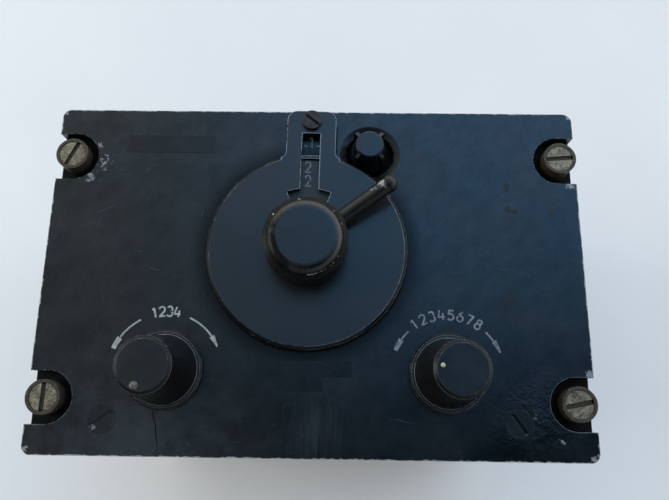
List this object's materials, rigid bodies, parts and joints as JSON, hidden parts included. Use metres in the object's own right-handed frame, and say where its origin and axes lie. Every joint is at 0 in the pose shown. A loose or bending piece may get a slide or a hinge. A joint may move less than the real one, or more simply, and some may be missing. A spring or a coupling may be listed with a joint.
{
  "type": "aircraft vhf radio",
  "caption": "Rail-mounted cockpit radio: black front plate with quarter-turn fasteners, a crank and knob selector under a slotted cover, a panel lamp and two side knobs, on a plain case.",
  "frame": {"origin": "middle of the rear rim of the case, on the surface that the set stands on when it lies face up", "axes": "+Z out of the front plate, +Y to the upper edge of the front plate, +X to the right of the front plate"},
  "size_m": [0.146, 0.0952, 0.1261],
  "materials": {
    "panel_paint": "semi-matt blue-black paint, chipped at the edges",
    "plate_metal": "thin black paint over aluminium",
    "tarnished_steel": "tarnished plated steel",
    "knob_black": "worn black phenolic",
    "crank_metal": "black finish worn to bare metal at the finger end",
    "shaft_steel": "ground steel",
    "brass": "dull brass",
    "dial_paint": "matt black dial with engraved figures",
    "insulator_board": "laminated phenolic board",
    "bulb_glass": "clear glass",
    "pot_metal": "plated sheet",
    "chassis_aluminium": "plain bent sheet",
    "circuit_board": "glass-fibre board",
    "transformer_iron": "varnished iron",
    "case_paint": "black crackle-free enamel over sheet",
    "connector_metal": "dull plated shell",
    "connector_insert": "moulded insulator"
  },
  "bodies": {
    "chassis": {"front_plate": "panel_paint", "mounting_plate": "plate_metal", "plate_screws": "panel_paint", "selector_plate": "panel_paint", "selector_plate_screw": "tarnished_steel", "selector_bush": "brass", "selector_nut": "brass", "detent_spring": "shaft_steel", "megahertz_wafer": "insulator_board", "kilohertz_wafer": "insulator_board", "switch_rods": "shaft_steel", "lamp_cap": "knob_black", "lamp_bulb": "bulb_glass", "lamp_socket": "brass", "squelch_pot": "pot_metal", "squelch_nut": "brass", "volume_pot": "pot_metal", "volume_nut": "brass", "power_switch": "insulator_board", "stud_cups": "tarnished_steel", "stud_retainers": "tarnished_steel", "chassis_side_left": "chassis_aluminium", "chassis_side_right": "chassis_aluminium", "rear_plate": "chassis_aluminium", "chassis_screws": "tarnished_steel", "transmitter_board": "circuit_board", "receiver_board": "circuit_board", "board_spacers": "chassis_aluminium", "shield_cans": "pot_metal", "channel_crystals": "pot_metal", "modulation_transformer": "transformer_iron", "antenna_relay": "pot_metal", "case_sleeve": "case_paint", "case_screws": "tarnished_steel", "power_connector_shell": "connector_metal", "power_connector_insert": "connector_insert", "power_connector_pins": "brass", "antenna_jack": "connector_metal", "antenna_insulator": "connector_insert", "antenna_contact": "brass"},
    "tuning": {"tuning_knob": "knob_black", "tuning_knob_screw": "tarnished_steel", "tuning_shaft": "shaft_steel", "kilohertz_rotor": "insulator_board"},
    "crank": {"crank_arm": "crank_metal", "crank_tip": "knob_black", "crank_shaft": "shaft_steel", "megahertz_dial": "dial_paint", "detent_wheel": "brass", "megahertz_rotor": "insulator_board"},
    "squelch": {"squelch_knob": "knob_black", "squelch_knob_screw": "tarnished_steel", "squelch_shaft": "shaft_steel"},
    "volume": {"volume_knob": "knob_black", "volume_knob_screw": "tarnished_steel", "volume_shaft": "shaft_steel"},
    "fastener_upper_left": {"stud_upper_left": "tarnished_steel"},
    "fastener_upper_right": {"stud_upper_right": "tarnished_steel"},
    "fastener_lower_left": {"stud_lower_left": "tarnished_steel"},
    "fastener_lower_right": {"stud_lower_right": "tarnished_steel"}
  },
  "joints": [
    {"name": "tuning_turn", "type": "hinge", "parent": "chassis", "child": "tuning", "pos_m": [-0.0017, 0.0064, 0.117], "axis": [0, 0, 1], "continuous": true},
    {"name": "crank_turn", "type": "hinge", "parent": "chassis", "child": "crank", "pos_m": [-0.0017, 0.0064, 0.112], "axis": [0, 0, 1], "continuous": true},
    {"name": "squelch_turn", "type": "hinge", "parent": "chassis", "child": "squelch", "pos_m": [-0.0382, -0.026, 0.11], "axis": [0, 0, 1], "range_deg": [-288, 12]},
    {"name": "volume_turn", "type": "hinge", "parent": "chassis", "child": "volume", "pos_m": [0.0356, -0.026, 0.11], "axis": [0, 0, 1], "range_deg": [-230, 70]},
    {"name": "fastener_upper_left_turn", "type": "hinge", "parent": "chassis", "child": "fastener_upper_left", "pos_m": [-0.06826, 0.03334, 0.1], "axis": [0, 0, 1], "range_deg": [-90, 0]},
    {"name": "fastener_upper_right_turn", "type": "hinge", "parent": "chassis", "child": "fastener_upper_right", "pos_m": [0.06826, 0.03334, 0.1], "axis": [0, 0, 1], "range_deg": [-90, 0]},
    {"name": "fastener_lower_left_turn", "type": "hinge", "parent": "chassis", "child": "fastener_lower_left", "pos_m": [-0.06826, -0.03334, 0.1], "axis": [0, 0, 1], "range_deg": [-90, 0]},
    {"name": "fastener_lower_right_turn", "type": "hinge", "parent": "chassis", "child": "fastener_lower_right", "pos_m": [0.06826, -0.03334, 0.1], "axis": [0, 0, 1], "range_deg": [-90, 0]}
  ]
}
